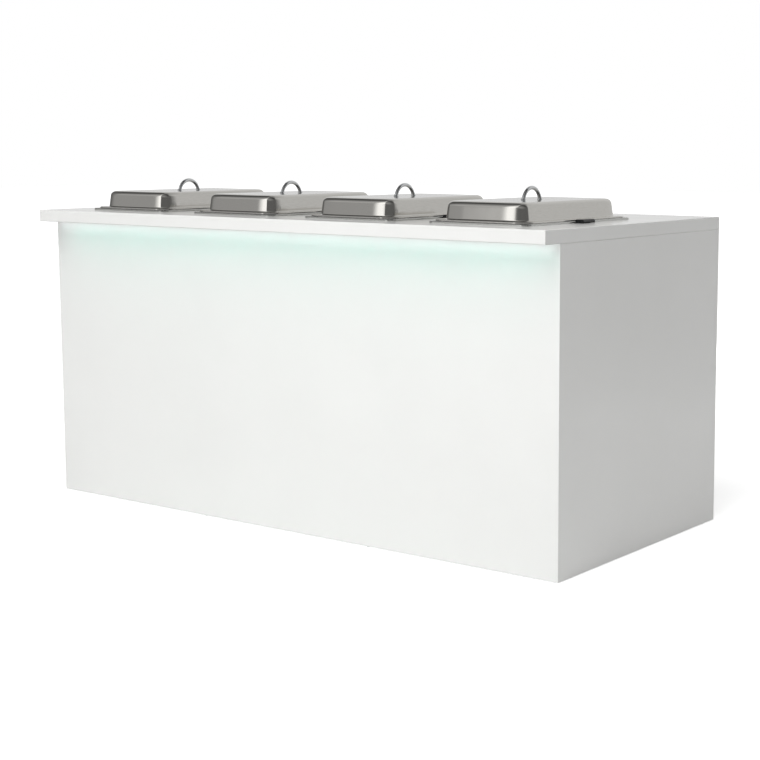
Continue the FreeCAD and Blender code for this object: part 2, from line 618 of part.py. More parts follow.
def led_channel():
    """An aluminium U, open downwards, with a side hole for the lead."""
    half = LED_CHANNEL_WIDTH / 2
    channel = block(-LED_HALF, LED_HALF, LED_Y - half, LED_Y + half, TOP_UNDERSIDE, LED_TOP)
    inside = block(-LED_HALF, LED_HALF, LED_Y - half + LED_WALL, LED_Y + half - LED_WALL,
                   TOP_UNDERSIDE, LED_TOP - LED_WALL)
    hole = rod(LED_LEAD_DIAMETER + 2 * LEAD_CLEARANCE, half, point(LED_LEAD_X, LED_Y, LED_LEAD_Z), ALONG_Y)
    return channel.cut(inside).cut(hole)


def led_diffuser():
    half = LED_CHANNEL_WIDTH / 2 - LED_WALL
    return block(-LED_HALF, LED_HALF, LED_Y - half, LED_Y + half,
                 TOP_UNDERSIDE, TOP_UNDERSIDE + LED_DIFFUSER_THICKNESS)


def led_strip():
    """The light strip: a board on the channel's roof with a row of chips."""
    half = LED_STRIP_WIDTH / 2
    strip = block(-LED_HALF, LED_HALF, LED_Y - half, LED_Y + half,
                  LED_STRIP_UNDERSIDE, LED_STRIP_UNDERSIDE + LED_STRIP_THICKNESS)
    count = int((2 * LED_HALF - LED_CHIP_PITCH) / LED_CHIP_PITCH)
    chips = []
    for number in range(count):
        x = (number - (count - 1) / 2) * LED_CHIP_PITCH
        if abs(x - LED_LEAD_X) < LED_CHIP + LED_LEAD_DIAMETER:
            continue
        chips.append(block(x - LED_CHIP / 2, x + LED_CHIP / 2, LED_Y - LED_CHIP / 2, LED_Y + LED_CHIP / 2,
                           LED_STRIP_UNDERSIDE - LED_CHIP_HEIGHT, LED_STRIP_UNDERSIDE))
    return strip.multiFuse(chips)


def led_end_caps():
    half = LED_CHANNEL_WIDTH / 2
    caps = []
    for x in (-LED_HALF - LED_CAP_THICKNESS, LED_HALF):
        caps.append(block(x, x + LED_CAP_THICKNESS, LED_Y - half, LED_Y + half, TOP_UNDERSIDE, LED_TOP))
    return Part.Compound(caps)


def led_lead():
    """The low-voltage lead: back over the front panel in its slot, then down into the driver."""
    end_y = FRONT_RAIL_BACK_Y + DRIVER_DEPTH / 2
    route = [point(LED_LEAD_X, LED_Y, LED_LEAD_Z), point(LED_LEAD_X, end_y, LED_LEAD_Z),
             point(LED_LEAD_X, end_y, DRIVER_TOP - DRIVER_SOCKET)]
    return bent_rod(LED_LEAD_DIAMETER, route, LED_LEAD_BEND)


def led_driver():
    """The driver, screwed to the front rail, with a socket for each lead."""
    back_y = FRONT_RAIL_BACK_Y + DRIVER_DEPTH
    body = block(DRIVER_MAX_X - DRIVER_LENGTH, DRIVER_MAX_X, FRONT_RAIL_BACK_Y, back_y,
                 DRIVER_TOP - DRIVER_HEIGHT, DRIVER_TOP)
    body = body.makeChamfer(DRIVER_BEVEL, [e for e in body.Edges if e.BoundBox.YMin > back_y - 0.01])
    led_socket = rod(LED_LEAD_DIAMETER + 2 * LEAD_CLEARANCE, DRIVER_SOCKET,
                     point(LED_LEAD_X, FRONT_RAIL_BACK_Y + DRIVER_DEPTH / 2, DRIVER_TOP - DRIVER_SOCKET))
    mains_socket = rod(MAINS_LEAD_DIAMETER + 2 * LEAD_CLEARANCE, DRIVER_SOCKET,
                       point(MAINS_LEAD_X, back_y - DRIVER_SOCKET, MAINS_LEAD_Z), ALONG_Y)
    return body.cut(led_socket).cut(mains_socket)


def mains_lead():
    """The internal lead from the inlet to the driver, straight along the end panel."""
    start_y = FRONT_RAIL_BACK_Y + DRIVER_DEPTH - DRIVER_SOCKET
    start = point(MAINS_LEAD_X, start_y, MAINS_LEAD_Z)
    return rod(MAINS_LEAD_DIAMETER, INLET_REAR_Y - start_y, start, ALONG_Y)


def lead_clips():
    """Saddles on the end panel that hold the mains lead."""
    start_y = FRONT_RAIL_BACK_Y + DRIVER_DEPTH
    spacing = (INLET_REAR_Y - start_y) / (CLIP_COUNT + 1)
    bore = MAINS_LEAD_DIAMETER + 2 * LEAD_CLEARANCE
    reach = bore / 2 + CLIP_WALL
    clips = []
    for number in range(CLIP_COUNT):
        y = start_y + spacing * (number + 1) - CLIP_WIDTH / 2
        centre = point(MAINS_LEAD_X, y, MAINS_LEAD_Z)
        body = block(MAINS_LEAD_X, INNER_X, y, y + CLIP_WIDTH, MAINS_LEAD_Z - reach, MAINS_LEAD_Z + reach)
        body = body.fuse(rod(2 * reach, CLIP_WIDTH, centre, ALONG_Y))
        clips.append(body.cut(rod(bore, CLIP_WIDTH, centre, ALONG_Y)).removeSplitter())
    return Part.Compound(clips)


def inlet_housing():
    """A moulded power inlet: flange on the rail, a three-blade socket and a well for the switch."""
    half_width = INLET_WIDTH / 2
    half_height = INLET_HEIGHT / 2
    body = block(INLET_X - half_width, INLET_X + half_width, INLET_REAR_Y, INLET_FACE_Y,
                 INLET_Z - half_height, INLET_Z + half_height)
    flange_x = half_width + INLET_FLANGE
    flange_z = half_height + INLET_FLANGE
    flange = block(INLET_X - flange_x, INLET_X + flange_x, RAIL_BACK_Y, INLET_FACE_Y,
                   INLET_Z - flange_z, INLET_Z + flange_z)
    upright = [e for e in flange.Edges if abs(e.BoundBox.YLength - INLET_FLANGE_THICKNESS) < 0.01]
    flange = flange.makeFillet(INLET_FLANGE / 2, upright)
    well_x = ROCKER_WIDTH / 2 + ROCKER_CLEARANCE
    well_z = ROCKER_RADIUS + ROCKER_CLEARANCE
    well = block(ROCKER_X - well_x, ROCKER_X + well_x, INLET_FACE_Y - ROCKER_CAVITY, INLET_FACE_Y,
                 INLET_Z - well_z, INLET_Z + well_z)
    seat_length = ROCKER_WIDTH + 2 * TRUNNION_REACH + 2 * ROCKER_CLEARANCE
    seat = rod(TRUNNION_DIAMETER + 2 * ROCKER_CLEARANCE, seat_length,
               point(ROCKER_X - seat_length / 2, ROCKER_PIVOT_Y, INLET_Z), ALONG_X)
    return body.fuse(flange).cut(inlet_socket()).cut(well).cut(seat).removeSplitter()


def inlet_socket():
    """The socket's hollow: a rectangle with its two upper corners cut off."""
    x = INLET_X - SOCKET_OFFSET
    w = SOCKET_WIDTH / 2
    h = SOCKET_HEIGHT / 2
    y = INLET_FACE_Y - SOCKET_DEPTH
    corners = [(x - w, y, INLET_Z - h), (x + w, y, INLET_Z - h), (x + w, y, INLET_Z + h - SOCKET_BEVEL),
               (x + w - SOCKET_BEVEL, y, INLET_Z + h), (x - w + SOCKET_BEVEL, y, INLET_Z + h),
               (x - w, y, INLET_Z + h - SOCKET_BEVEL)]
    return plate(corners, point(0, SOCKET_DEPTH, 0))


def inlet_blades():
    """Three contact blades standing on the socket's floor."""
    x = INLET_X - SOCKET_OFFSET
    y = INLET_FACE_Y - SOCKET_DEPTH
    blades = []
    for step, rise in ((-1, 0), (0, BLADE_EARTH_RISE), (1, 0)):
        centre_x = x + step * BLADE_PITCH
        z = INLET_Z + rise - BLADE_EARTH_RISE / 2 + BLADE_LIFT
        blades.append(block(centre_x - BLADE_WIDTH / 2, centre_x + BLADE_WIDTH / 2, y, y + BLADE_LENGTH,
                            z - BLADE_HEIGHT / 2, z + BLADE_HEIGHT / 2))
    return Part.Compound(blades)


def rocker_switch():
    """A rocker on two trunnions, pressed on: its upper half lies level with the flange."""
    x = ROCKER_X - ROCKER_WIDTH / 2
    reach = ROCKER_RADIUS + 1
    rise = reach * math.tan(math.radians(ROCKER_TILT))
    profile = [(x, -ROCKER_BACK, -reach), (x, ROCKER_RIDGE + rise, -reach), (x, ROCKER_RIDGE, 0),
               (x, ROCKER_RIDGE + rise, reach), (x, -ROCKER_BACK, reach)]
    body = plate(profile, point(ROCKER_WIDTH, 0, 0))
    body = body.common(rod(2 * ROCKER_RADIUS, ROCKER_WIDTH, point(x, 0, 0), ALONG_X))
    trunnion_length = ROCKER_WIDTH + 2 * TRUNNION_REACH
    trunnion_start = point(ROCKER_X - trunnion_length / 2, 0, 0)
    body = body.fuse(rod(TRUNNION_DIAMETER, trunnion_length, trunnion_start, ALONG_X))
    body.rotate(point(0, 0, 0), ALONG_X, ROCKER_TILT)
    return body.translated(point(0, ROCKER_PIVOT_Y, INLET_Z))


def assembly():
    """Every piece under its node's name."""
    pieces = {
        "counter_top": counter_top(),
        "front_panel": front_panel(),
        "left_end_panel": end_panel(-1),
        "right_end_panel": end_panel(1),
        "base_panel": base_panel(),
        "back_plinth": back_plinth(),
        "front_top_rail": front_top_rail(),
        "back_top_rail": back_top_rail(),
        "centre_partition": centre_partition(),
        "left_burner_shelf": burner_shelf(-1),
        "right_burner_shelf": burner_shelf(1),
        "floor_glides": floor_glides(),
        "corner_brackets": corner_brackets(),
        "led_channel": led_channel(),
        "led_diffuser": led_diffuser(),
        "led_strip": led_strip(),
        "led_end_caps": led_end_caps(),
        "led_lead": led_lead(),
        "led_driver": led_driver(),
        "mains_lead": mains_lead(),
        "lead_clips": lead_clips(),
        "inlet_housing": inlet_housing(),
        "inlet_blades": inlet_blades(),
        "rocker_switch": rocker_switch(),
    }
    dish = {"water_pan": water_pan(), "lift_grips": lift_grips(), "food_pan": food_pan(), "cover": cover(),
            "cover_handle": cover_handle(), "handle_screws": handle_screws()}
    for number, place in enumerate(chafer_places(), 1):
        for name, shape in dish.items():
            pieces[f"{name}_{number}"] = shape.translated(place)
    holder = fuel_holder()
    can = fuel_can()
    lid = burner_lid()
    places = burner_places()
    pieces["fuel_holders"] = Part.Compound([holder.translated(place) for place in places])
    pieces["fuel_cans"] = Part.Compound([can.translated(place) for place in places])
    for number, place in enumerate(places, 1):
        pieces[f"burner_lid_{number}"] = lid.translated(place)
    return pieces


os.makedirs("parts", exist_ok=True)
for name, shape in assembly().items():
    shape.exportStep(f"parts/{name}.step")
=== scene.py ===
import math

import bpy
from mathutils import Matrix, Vector


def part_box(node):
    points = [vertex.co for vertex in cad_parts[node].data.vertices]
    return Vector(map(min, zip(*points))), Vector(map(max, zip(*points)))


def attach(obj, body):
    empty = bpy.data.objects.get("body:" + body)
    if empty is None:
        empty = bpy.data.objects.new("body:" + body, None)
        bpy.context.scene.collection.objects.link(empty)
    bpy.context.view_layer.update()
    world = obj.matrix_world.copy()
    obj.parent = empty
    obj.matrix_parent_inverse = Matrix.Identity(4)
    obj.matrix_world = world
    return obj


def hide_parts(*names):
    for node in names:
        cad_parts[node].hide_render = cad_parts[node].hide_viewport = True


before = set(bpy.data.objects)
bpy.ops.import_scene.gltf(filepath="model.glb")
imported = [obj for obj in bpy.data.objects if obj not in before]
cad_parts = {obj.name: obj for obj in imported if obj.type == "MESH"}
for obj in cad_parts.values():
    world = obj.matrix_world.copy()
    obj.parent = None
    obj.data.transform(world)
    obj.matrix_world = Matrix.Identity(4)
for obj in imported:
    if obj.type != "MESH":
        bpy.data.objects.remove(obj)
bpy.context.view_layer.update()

# Counter top, front panel and end panels
# Chipboard faced with white acrylic laminate, pressed against a polished plate so that it is glassy.
# The three panels are glued on a mitre at the corners, and the slab lies on them and overhangs the front.
MM = 0.001
NOISE_LOW = 0.3
NOISE_HIGH = 0.7
EDGE_SAMPLES = 6
ACRYLIC_IOR = 1.49
LAMINATE_WHITES = ("F1F1EF", "ECECEA")
LAMINATE_ROUGHNESS = (0.10, 0.18)
WIPE_MARKS = 260.0
ORANGE_PEEL = 7.0
EDGE_SOFTNESS = 0.9
SLAB_EDGING = 5.0


def linear(code):
    """A linear colour, with alpha, from an sRGB hex value."""
    channels = [int(code[start:start + 2], 16) / 255 for start in (0, 2, 4)]
    values = [c / 12.92 if c <= 0.04045 else ((c + 0.055) / 1.055) ** 2.4 for c in channels]
    return (*values, 1.0)


def add(tree, kind, inputs=None, **settings):
    """One node with its settings, its constants and its links."""
    node = tree.nodes.new(kind)
    for name, value in settings.items():
        setattr(node, name, value)
    for socket, value in (inputs or {}).items():
        if isinstance(value, bpy.types.NodeSocket):
            tree.links.new(value, node.inputs[socket])
        else:
            node.inputs[socket].default_value = value
    return node


def new_material(name, constants):
    """A material of one shader, with its constants on the shader's own sockets."""
    material = bpy.data.materials.new(name)
    material.use_nodes = True
    tree = material.node_tree
    shader = tree.nodes["Principled BSDF"]
    for socket, value in constants.items():
        shader.inputs[socket].default_value = value
    return material, tree, shader


def grain(tree, size, detail=2.0, stretch=(1, 1, 1)):
    """Noise whose bumps are about so many millimetres apart, drawn out along an axis by a small stretch."""
    place = add(tree, "ShaderNodeTexCoord").outputs["Object"]
    turned = add(tree, "ShaderNodeMapping", {"Vector": place, "Scale": stretch})
    noise = add(tree, "ShaderNodeTexNoise",
                {"Vector": turned.outputs["Vector"], "Scale": 1 / (size * MM), "Detail": detail})
    return noise.outputs["Fac"]


def wear(tree, shader, marks, colours, roughness, dulling=None):
    """Colour and roughness that follow marks on the surface, each between two values.

    The roughness may follow marks of its own."""
    clean, marked = colours
    paint = add(tree, "ShaderNodeMix", {"Factor": marks, "A": linear(clean), "B": linear(marked)},
                data_type="RGBA")
    tree.links.new(paint.outputs["Result"], shader.inputs["Base Color"])
    first, last = roughness
    gloss = add(tree, "ShaderNodeMapRange", {"Value": marks if dulling is None else dulling,
                                            "From Min": NOISE_LOW, "From Max": NOISE_HIGH,
                                            "To Min": first, "To Max": last})
    tree.links.new(gloss.outputs["Result"], shader.inputs["Roughness"])


def relief(tree, shader, height, depth, strength, edge=0.0):
    """A bump of so many millimetres, over edges softened by so many millimetres."""
    inputs = {"Height": height, "Distance": depth * MM, "Strength": strength}
    if edge:
        softened = add(tree, "ShaderNodeBevel", {"Radius": edge * MM}, samples=EDGE_SAMPLES)
        inputs["Normal"] = softened.outputs["Normal"]
    bump = add(tree, "ShaderNodeBump", inputs)
    tree.links.new(bump.outputs["Normal"], shader.inputs["Normal"])


def dress(material, *names):
    """Gives CAD nodes their finish."""
    for name in names:
        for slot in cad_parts[name].material_slots:
            slot.material = material


def gloss_laminate(name, edging):
    # Acrylic laminate: mirror-like but with a faint orange peel, and wiping leaves broad hazy marks
    material, tree, shader = new_material(name, {"IOR": ACRYLIC_IOR})
    wiped = grain(tree, WIPE_MARKS, detail=3.0)
    wear(tree, shader, wiped, LAMINATE_WHITES, LAMINATE_ROUGHNESS)
    relief(tree, shader, grain(tree, ORANGE_PEEL), depth=0.02, strength=0.25, edge=edging)
    return material


dress(gloss_laminate("white_acrylic_laminate_edged", SLAB_EDGING), "counter_top")
dress(gloss_laminate("white_acrylic_laminate_pressed", EDGE_SOFTNESS),
      "front_panel", "left_end_panel", "right_end_panel")

# Base, plinth, rails, partition and burner shelves
# Melamine-faced chipboard, white, with a fine pearl texture and plastic edging on the staff side.
# They stand between the end panels on dowels, and carry the slab and the burners.
MELAMINE_IOR = 1.5
MELAMINE_WHITES = ("E9EAE7", "E1E2DE")
MELAMINE_ROUGHNESS = (0.38, 0.5)
MELAMINE_CLOUDS = 180.0
MELAMINE_DULLING = 40.0
PEARL_TEXTURE = 2.5


def pearl_melamine():
    # Melamine paper cured on a pearled plate: an even satin white, its bumps drawn coarser than the real 1 mm
    material, tree, shader = new_material("white_melamine_pearl", {"IOR": MELAMINE_IOR})
    clouds = grain(tree, MELAMINE_CLOUDS)
    dulled = grain(tree, MELAMINE_DULLING)
    wear(tree, shader, clouds, MELAMINE_WHITES, MELAMINE_ROUGHNESS, dulled)
    relief(tree, shader, grain(tree, PEARL_TEXTURE), depth=0.05, strength=0.4, edge=EDGE_SOFTNESS)
    return material


dress(pearl_melamine(), "base_panel", "back_plinth", "front_top_rail", "back_top_rail", "centre_partition",
      "left_burner_shelf", "right_burner_shelf")

# Floor glides
# Grey nylon discs nailed under the panels, so that the boards stand clear of a wet floor.
# Moulded, with a dull scuffed face.
PLASTIC_IOR = 1.5
NYLON_GREYS = ("7F8284", "93979A")
RUBBED_PATCHES = 30.0
RUBBED_SHARE = 0.75


def moulded_plastic(name, colours, roughness, texture):
    # Injection moulded plastic: fine spark-eroded texture from the tool, a little glossier where it is rubbed
    material, tree, shader = new_material(name, {"IOR": PLASTIC_IOR})
    rubbed = grain(tree, RUBBED_PATCHES, detail=4.0)
    wear(tree, shader, rubbed, colours, (roughness, roughness * RUBBED_SHARE))
    relief(tree, shader, grain(tree, texture), depth=0.04, strength=0.5, edge=0.5)
    return material


dress(moulded_plastic("grey_nylon_moulded", NYLON_GREYS, roughness=0.55, texture=1.2), "floor_glides")

# Corner brackets and their screws
# Pressed steel angles, zinc plated, that tie the slab and the burner shelves to the uprights.
# Each leg has two pan-head wood screws with a cross recess.
ZINC_GREYS = ("C6CACC", "A9AFB3")
ZINC_ROUGHNESS = (0.28, 0.42)
SPANGLE = 9.0
PRESS_MARKS = 1.5
BRACKET_ROWS = (-264.0, 330.0)
BRACKET_LEVELS = (912.0, 704.7)
BRACKET_CORNERS = ((-982.0, 1), (982.0, -1), (-9.0, -1), (9.0, 1))
BRACKET_SHEET = 2.5
BRACKET_SCREW_PLACES = ((14.0, -7.0), (29.0, 7.0))
BRACKET_SCREW = {"Head Diameter": 7.0, "Head Height": 2.4, "Slot Width": 1.1}
HEAD_SIDES = 20
HEAD_RINGS = 4
CROWN_POWER = 3.0
CROWN_DRAW = 0.3
RECESS_LEVEL = 0.95
SPIN_SEED = 4
SCREW_SHARP = math.radians(40)


def zinc_plate():
    # Zinc plating: a bluish bright metal, clouded in patches by handling
    material, tree, shader = new_material("zinc_plated_steel_pressed", {"Metallic": 1.0})
    wear(tree, shader, grain(tree, SPANGLE, detail=4.0), ZINC_GREYS, ZINC_ROUGHNESS)
    relief(tree, shader, grain(tree, PRESS_MARKS), depth=0.02, strength=0.4, edge=0.4)
    return material


def pan_head_tree(material):
    """Geometry nodes: a pan-head screw with a cross recess on every point, along the point's facing."""
    tree = bpy.data.node_groups.new("pan_head_screws", "GeometryNodeTree")
    sockets = tree.interface
    sockets.new_socket("Geometry", in_out="INPUT", socket_type="NodeSocketGeometry")
    for name in BRACKET_SCREW:
        sockets.new_socket(name, in_out="INPUT", socket_type="NodeSocketFloat")
    sockets.new_socket("Geometry", in_out="OUTPUT", socket_type="NodeSocketGeometry")
    given = add(tree, "NodeGroupInput").outputs
    height = given["Head Height"]
    slot = given["Slot Width"]
    halved = add(tree, "ShaderNodeMath", {0: given["Head Diameter"], 1: 0.5}, operation="MULTIPLY")
    radius = halved.outputs[0]

    # The head: a short cylinder on its seat, drawn in towards the top
    blank = add(tree, "GeometryNodeMeshCylinder",
                {"Vertices": HEAD_SIDES, "Side Segments": HEAD_RINGS, "Radius": radius, "Depth": height})
    here = add(tree, "GeometryNodeInputPosition").outputs["Position"]
    place = add(tree, "ShaderNodeSeparateXYZ", {"Vector": here}).outputs
    share = add(tree, "ShaderNodeMath", {0: place["Z"], 1: height}, operation="DIVIDE").outputs[0]
    level = add(tree, "ShaderNodeMath", {0: share, 1: 0.5}, operation="ADD").outputs[0]
    crown = add(tree, "ShaderNodeMath", {0: level, 1: CROWN_POWER}, operation="POWER").outputs[0]
    loss = add(tree, "ShaderNodeMath", {0: crown, 1: CROWN_DRAW}, operation="MULTIPLY").outputs[0]
    draw_in = add(tree, "ShaderNodeMath", {0: 1.0, 1: loss}, operation="SUBTRACT").outputs[0]
    across = add(tree, "ShaderNodeMath", {0: place["X"], 1: draw_in}, operation="MULTIPLY")
    along = add(tree, "ShaderNodeMath", {0: place["Y"], 1: draw_in}, operation="MULTIPLY")
    seated = add(tree, "ShaderNodeMath", {0: level, 1: height}, operation="MULTIPLY")
    domed = add(tree, "ShaderNodeCombineXYZ",
                {"X": across.outputs[0], "Y": along.outputs[0], "Z": seated.outputs[0]})
    head = add(tree, "GeometryNodeSetPosition",
               {"Geometry": blank.outputs["Mesh"], "Position": domed.outputs[0]})

    # The recess: two crossed bars cut out of the top
    middle = add(tree, "ShaderNodeMath", {0: height, 1: RECESS_LEVEL}, operation="MULTIPLY")
    lifted = add(tree, "ShaderNodeCombineXYZ", {"Z": middle.outputs[0]})
    cutters = add(tree, "GeometryNodeJoinGeometry")
    for x_size, y_size in ((radius, slot), (slot, radius)):
        size = add(tree, "ShaderNodeCombineXYZ", {"X": x_size, "Y": y_size, "Z": height})
        bar = add(tree, "GeometryNodeMeshCube", {"Size": size.outputs[0]})
        moved = add(tree, "GeometryNodeTransform",
                    {"Geometry": bar.outputs["Mesh"], "Translation": lifted.outputs[0]})
        tree.links.new(moved.outputs["Geometry"], cutters.inputs["Geometry"])
    recess = add(tree, "GeometryNodeMeshBoolean",
                 {"Mesh 1": head.outputs["Geometry"], "Mesh 2": cutters.outputs["Geometry"],
                  "Self Intersection": True}, operation="DIFFERENCE", solver="EXACT")

    # The places: every head stands along its point's facing, with its recess turned at random
    facing = add(tree, "GeometryNodeInputNamedAttribute", {"Name": "facing"}, data_type="FLOAT_VECTOR")
    aligned = add(tree, "FunctionNodeAlignRotationToVector",
                  {"Vector": facing.outputs["Attribute"]}, axis="Z")
    spin = add(tree, "FunctionNodeRandomValue", {"Min": 0.0, "Max": math.pi, "Seed": SPIN_SEED},
               data_type="FLOAT")
    turn = add(tree, "FunctionNodeAxisAngleToRotation", {"Angle": spin.outputs[1]})
    spun = add(tree, "FunctionNodeRotateRotation",
               {"Rotation": aligned.outputs[0], "Rotate By": turn.outputs[0]}, rotation_space="LOCAL")
    placed = add(tree, "GeometryNodeInstanceOnPoints",
                 {"Points": given["Geometry"], "Instance": recess.outputs["Mesh"],
                  "Rotation": spun.outputs[0]})
    real = add(tree, "GeometryNodeRealizeInstances", {"Geometry": placed.outputs["Instances"]})
    coloured = add(tree, "GeometryNodeSetMaterial",
                   {"Geometry": real.outputs["Geometry"], "Material": material})
    add(tree, "NodeGroupOutput", {"Geometry": coloured.outputs["Geometry"]})
    return tree


def show(name, mesh, body, slot, *nodes):
    """Puts a finished mesh in the scene on its body, in place of the CAD nodes it stands for."""
    piece = bpy.data.objects.new(name, mesh)
    bpy.context.scene.collection.objects.link(piece)
    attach(piece, body)
    if nodes:
        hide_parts(*nodes)


def evaluated_mesh(piece, name):
    """A plain mesh of what an object's modifiers give; the object itself is taken away."""
    view = bpy.context.evaluated_depsgraph_get()
    mesh = bpy.data.meshes.new_from_object(piece.evaluated_get(view), depsgraph=view)
    mesh.name = name
    bpy.data.objects.remove(piece)
    return mesh


def set_screws(name, seats, tree, sizes):
    """Screw heads on seats, each a place in millimetres and the way its head faces."""
    points = bpy.data.meshes.new(name + "_seats")
    points.from_pydata([Vector(place) * MM for place, way in seats], [], [])
    ways = points.attributes.new("facing", "FLOAT_VECTOR", "POINT")
    for number, (place, way) in enumerate(seats):
        ways.data[number].vector = way
    carrier = bpy.data.objects.new(name + "_seats", points)
    bpy.context.scene.collection.objects.link(carrier)
    modifier = carrier.modifiers.new("screws", "NODES")
    modifier.node_group = tree
    for item in tree.interface.items_tree:
        if item.in_out == "INPUT" and item.name in sizes:
            modifier[item.identifier] = sizes[item.name] * MM
    mesh = evaluated_mesh(carrier, name)
    mesh.shade_smooth()
    mesh.set_sharp_from_angle(angle=SCREW_SHARP)
    return mesh


def bracket_seats():
    """Two screws up into the board above and two into the upright, on every bracket."""
    seats = []
    for y in BRACKET_ROWS:
        for z in BRACKET_LEVELS:
            for x, side in BRACKET_CORNERS:
                for along, across in BRACKET_SCREW_PLACES:
                    seats.append(((x + side * along, y + across, z - BRACKET_SHEET), (0, 0, -1)))
                    seats.append(((x + side * BRACKET_SHEET, y - across, z - along), (side, 0, 0)))
    return seats


zinc = zinc_plate()
dress(zinc, "corner_brackets")
pan_heads = pan_head_tree(zinc)
bracket_heads = set_screws("bracket_screws", bracket_seats(), pan_heads, BRACKET_SCREW)
show("bracket_screws", bracket_heads, "cabinet", "zinc_steel")

# Light line under the front edge
# A strip of light-emitting diodes in an extruded aluminium channel, closed by an opal snap-in cover.
# It is let into a groove in the slab, with moulded end caps, and a thin white lead goes back to its driver.
ALUMINIUM_GREYS = ("CDD0D2", "BCC0C3")
ALUMINIUM_ROUGHNESS = (0.32, 0.45)
DIE_LINES = 1.2
OPAL_WHITES = ("E3F6F4", "D8EFEC")
OPAL_ROUGHNESS = (0.3, 0.4)
OPAL_CLOUDS = 25.0
OPAL_DULLING = 60.0
GLOW_COLOUR = "F9FCFF"
GLOW_STRENGTH = 2.4
BOARD_WHITES = ("EDEDE6", "E3E3DA")
END_CAP_GREYS = ("A9ACAE", "B4B7B9")
SCATTER_COLOUR = "00FFDF"
SCATTER_POWER = 0.31
SCATTER_FORWARD = 30.0
SCATTER_DROP = 2.0
SCATTER_INSET = 55.0
PVC_IOR = 1.53
PVC_ROUGHNESS = (0.45, 0.58)
DRAW_MARKS = 4.0
WHITE_SHEATH = ("E4E4E1", "DADAD6")


def anodised_aluminium():
    # Clear anodised extrusion: satin grey with die lines along its length, drawn coarser than the real ones
    material, tree, shader = new_material("aluminium_extruded_anodised", {"Metallic": 1.0})
    lines = grain(tree, DIE_LINES, detail=3.0, stretch=(0.004, 1, 1))
    wear(tree, shader, lines, ALUMINIUM_GREYS, ALUMINIUM_ROUGHNESS)
    relief(tree, shader, lines, depth=0.02, strength=0.5, edge=0.3)
    return material


def lit_opal():
    # Opal acrylic lit from behind: it spreads the light of the diodes to one even line
    constants = {"IOR": ACRYLIC_IOR, "Emission Color": linear(GLOW_COLOUR),
                 "Emission Strength": GLOW_STRENGTH}
    material, tree, shader = new_material("opal_acrylic_lit", constants)
    clouds = grain(tree, OPAL_CLOUDS)
    dulled = grain(tree, OPAL_DULLING)
    wear(tree, shader, clouds, OPAL_WHITES, OPAL_ROUGHNESS, dulled)
    return material


def soft_pvc(name, colours):
    # Extruded PVC sheath: dull, slightly greasy, with faint draw marks
    material, tree, shader = new_material(name, {"IOR": PVC_IOR})
    drawn = grain(tree, DRAW_MARKS, detail=3.0)
    wear(tree, shader, drawn, colours, PVC_ROUGHNESS)
    relief(tree, shader, drawn, depth=0.05, strength=0.3)
    return material


def hidden_lamp(name, place, size, power):
    """A soft lamp facing down, in metres and watts, that is neither seen nor mirrored."""
    lamp = bpy.data.lights.new(name, "AREA")
    lamp.shape = "RECTANGLE"
    lamp.size, lamp.size_y = size
    lamp.energy = power
    holder = bpy.data.objects.new(name, lamp)
    holder.location = place
    holder.visible_camera = False
    holder.visible_glossy = False
    bpy.context.scene.collection.objects.link(holder)
    return holder


def scattered_glow():
    """A long thin lamp under the overhang, for the light that the opal cover scatters down the panel.

    It starts a little way in from the left end."""
    low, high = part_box("led_diffuser")
    inset = SCATTER_INSET * MM
    size = (high[0] - low[0] - inset, high[1] - low[1])
    place = (inset / 2, low[1] - SCATTER_FORWARD * MM, low[2] - SCATTER_DROP * MM)
    holder = hidden_lamp("scattered_glow", place, size, SCATTER_POWER)
    holder.data.color = linear(SCATTER_COLOUR)[:3]


dress(anodised_aluminium(), "led_channel")
dress(lit_opal(), "led_diffuser")
dress(moulded_plastic("white_solder_mask_board", BOARD_WHITES, roughness=0.4, texture=1.0), "led_strip")
dress(moulded_plastic("grey_plastic_end_cap", END_CAP_GREYS, roughness=0.5, texture=1.0), "led_end_caps")
dress(soft_pvc("white_pvc_sheath", WHITE_SHEATH), "led_lead")
scattered_glow()

# Driver, internal mains lead, power inlet and switch
# A sealed plastic driver on the front rail is fed by a black lead in saddles along the end panel.
# At the staff side the lead ends in a moulded inlet with three plated blades and a rocker switch.
DRIVER_WHITES = ("E6E6E3", "DEDEDA")
BLACK_SHEATH = ("17181A", "202124")
INLET_BLACKS = ("161718", "222425")
ROCKER_BLACKS = ("101112", "1B1C1E")
NICKEL_GREYS = ("D2CDBD", "BFB8A4")
NICKEL_ROUGHNESS = (0.2, 0.34)
PLUG_SCRATCHES = 0.8
INLET_MIDDLE = 944.0
INLET_FACE = 460.5
INLET_LEVEL = 871.0
INLET_SCREW_SPAN = 54.0
INLET_SCREW = {"Head Diameter": 4.6, "Head Height": 1.4, "Slot Width": 0.8}


def nickel_plate():
    # Nickel plated brass: a warm bright metal, lightly scratched along the way the plug slides
    material, tree, shader = new_material("nickel_plated_brass", {"Metallic": 1.0})
    slid = grain(tree, PLUG_SCRATCHES, detail=3.0, stretch=(1, 0.05, 1))
    wear(tree, shader, slid, NICKEL_GREYS, NICKEL_ROUGHNESS)
    return material


def inlet_seats():
    """A screw on either side of the inlet, facing the staff."""
    half_span = INLET_SCREW_SPAN / 2
    return [((INLET_MIDDLE + side * half_span, INLET_FACE, INLET_LEVEL), (0, 1, 0)) for side in (-1, 1)]


